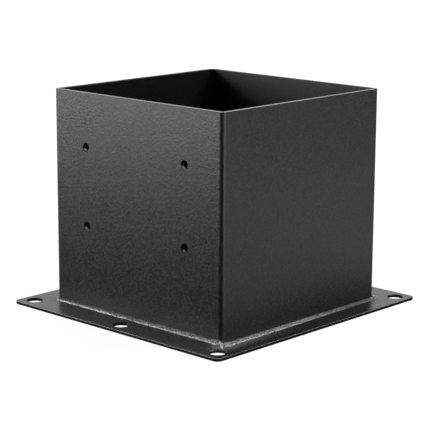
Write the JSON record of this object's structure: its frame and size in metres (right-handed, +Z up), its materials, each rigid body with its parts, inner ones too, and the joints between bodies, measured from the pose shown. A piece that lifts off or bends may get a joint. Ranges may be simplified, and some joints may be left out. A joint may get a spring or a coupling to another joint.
{
  "type": "timber post base",
  "caption": "Square post base: a folded sheet sleeve with screw holes, fillet-welded to a flat drilled base plate, in black powder coat.",
  "frame": {"origin": "centre of the base plate's underside, on the concrete", "axes": "+Z up, out of the sleeve's open top; -Y the front wall, one of the two walls with screw holes, where the plate's flange is wide and has a middle hole; +X the plain right wall"},
  "size_m": [0.1826, 0.1914, 0.141],
  "materials": {
    "powder_coat_black": "satin black powder coat with a fine texture, over steel sheet",
    "coated_weld": "rough weld bead under a thin, worn, greyish powder coat"
  },
  "bodies": {
    "root": {"base_plate": "powder_coat_black", "sleeve": "powder_coat_black", "corner_seam_weld": "coated_weld", "fillet_weld_front": "coated_weld", "fillet_weld_right": "coated_weld", "fillet_weld_back": "coated_weld", "fillet_weld_left": "coated_weld"}
  },
  "joints": []
}
